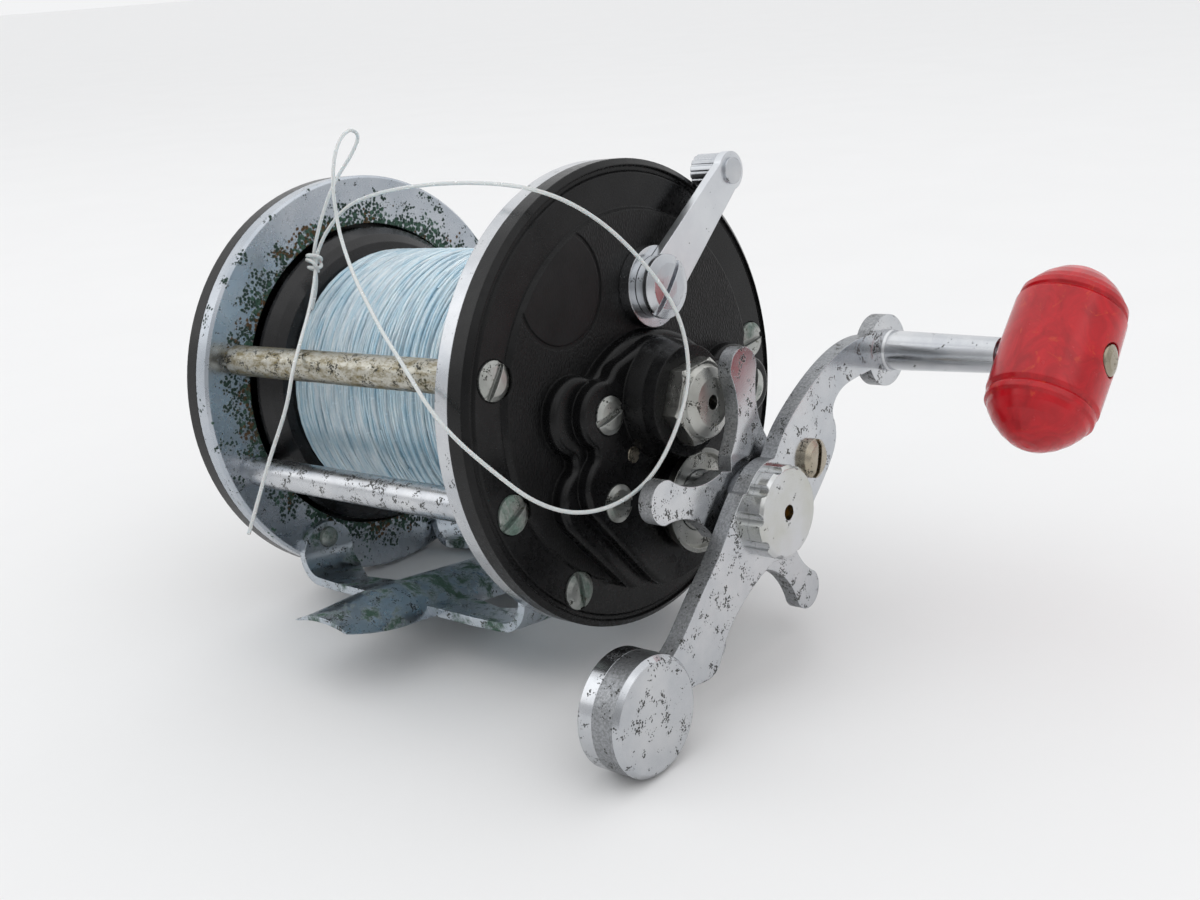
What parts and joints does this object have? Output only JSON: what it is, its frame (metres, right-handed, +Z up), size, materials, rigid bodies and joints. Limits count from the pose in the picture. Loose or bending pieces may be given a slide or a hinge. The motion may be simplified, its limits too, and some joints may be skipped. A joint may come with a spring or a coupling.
{
  "type": "fishing reel",
  "caption": "Conventional star-drag trolling reel with chrome rings, black side plates, wound line and a counterweighted crank with a red grip.",
  "frame": {"origin": "centre of the reel foot on the plane where it lies on the rod", "axes": "+X along the spool axis towards the crank, +Z up away from the rod, +Y to the rear"},
  "size_m": [0.1579, 0.1047, 0.1039],
  "materials": {
    "black_plate": "moulded black phenolic, satin sheen, leather grain inside the rim",
    "ring_chrome": "old chrome plate with pits and grey-green bloom",
    "post_chrome": "chrome plate worn through to brass in patches",
    "stand_metal": "dull plated sheet with verdigris at its edges",
    "screw_metal": "plated brass screws with green bloom in the slots",
    "bright_chrome": "polished chrome with fine black pits",
    "lever_metal": "pale brushed plate",
    "steel": "turned steel",
    "brass": "machined brass",
    "nickel_brass": "browned nickel over brass",
    "fibre": "pressed fibre",
    "spool_black": "smooth black moulding",
    "line": "clear pale-blue monofilament",
    "grip_red": "translucent red cast resin with darker and orange swirls"
  },
  "bodies": {
    "frame": {"right_plate": "black_plate", "left_plate": "black_plate", "right_ring": "ring_chrome", "left_ring": "ring_chrome", "upper_front_post": "post_chrome", "lower_front_post": "post_chrome", "upper_rear_post": "post_chrome", "lower_rear_post": "post_chrome", "reel_stand": "stand_metal", "stand_rivets": "screw_metal", "right_plate_screws": "screw_metal", "left_plate_screws": "screw_metal", "bridge": "brass", "bridge_screws": "screw_metal", "dog_pin": "nickel_brass", "right_bearing": "brass", "left_bearing": "brass", "right_bearing_cap": "bright_chrome", "lever_washer": "bright_chrome", "click_spring": "steel", "free_line": "line"},
    "spool": {"spool": "spool_black", "spindle": "steel", "wound_line": "line", "click_ratchet": "steel"},
    "crank": {"crank_arm": "bright_chrome", "counterweight_slug": "bright_chrome", "crank_nut": "bright_chrome", "nut_lock_screw": "nickel_brass", "knob_spindle": "bright_chrome", "knob_rivet": "nickel_brass", "gear_sleeve": "brass", "ratchet_wheel": "steel", "main_gear": "brass", "drag_friction_washers": "fibre", "drag_metal_washers": "steel", "drag_sleeve": "bright_chrome", "drag_cup_washer": "bright_chrome"},
    "grip": {"knob_grip": "grip_red"},
    "star": {"star_drag": "bright_chrome"},
    "lever": {"throw_lever": "lever_metal", "lever_screw": "bright_chrome", "throw_cam": "steel", "lever_knob": "bright_chrome"},
    "yoke": {"yoke": "brass", "yoke_springs": "steel"},
    "pinion": {"pinion": "brass"},
    "dog": {"anti_reverse_dog": "steel"},
    "click": {"click_button": "nickel_brass", "click_tongue": "steel"},
    "left_cap": {"left_bearing_cap": "bright_chrome"}
  },
  "joints": [
    {"name": "crank_turn", "type": "hinge", "parent": "frame", "child": "crank", "pos_m": [0.05, 0.00651, 0.02134], "axis": [1, 0, 0], "continuous": true},
    {"name": "spool_spin", "type": "hinge", "parent": "frame", "child": "spool", "pos_m": [0, 0, 0.0403], "axis": [1, 0, 0], "continuous": true},
    {"name": "knob_turn", "type": "hinge", "parent": "crank", "child": "grip", "pos_m": [0.09685, 0.04408, 0.045], "axis": [1, 0, 0], "continuous": true},
    {"name": "drag_star_turn", "type": "hinge", "parent": "crank", "child": "star", "pos_m": [0.0585, 0.00651, 0.02134], "axis": [1, 0, 0], "range_deg": [-120, 180]},
    {"name": "throw_lever_turn", "type": "hinge", "parent": "frame", "child": "lever", "pos_m": [0.0435, 0.00231, 0.05944], "axis": [1, 0, 0], "range_deg": [0, 55]},
    {"name": "yoke_slide", "type": "slide", "parent": "frame", "child": "yoke", "axis": [1, 0, 0], "range_m": [0, 0.0012]},
    {"name": "pinion_spin", "type": "hinge", "parent": "yoke", "child": "pinion", "pos_m": [0.038, 0, 0.0403], "axis": [1, 0, 0], "continuous": true},
    {"name": "dog_swing", "type": "hinge", "parent": "frame", "child": "dog", "pos_m": [0.0352, -0.00834, 0.03162], "axis": [1, 0, 0], "range_deg": [0, 10]},
    {"name": "click_slide", "type": "slide", "parent": "frame", "child": "click", "axis": [0, 0.5736, -0.8192], "range_m": [0, 0.003]},
    {"name": "end_cap_turn", "type": "hinge", "parent": "frame", "child": "left_cap", "pos_m": [-0.049, 0, 0.0403], "axis": [1, 0, 0], "range_deg": [-90, 90]}
  ],
  "couplings": [
    {"joint": "spool_spin", "follows": "crank_turn", "ratio": -2.3333},
    {"joint": "pinion_spin", "follows": "crank_turn", "ratio": -2.3333},
    {"joint": "yoke_slide", "follows": "throw_lever_turn", "m_per_rad": 0.0012501}
  ]
}
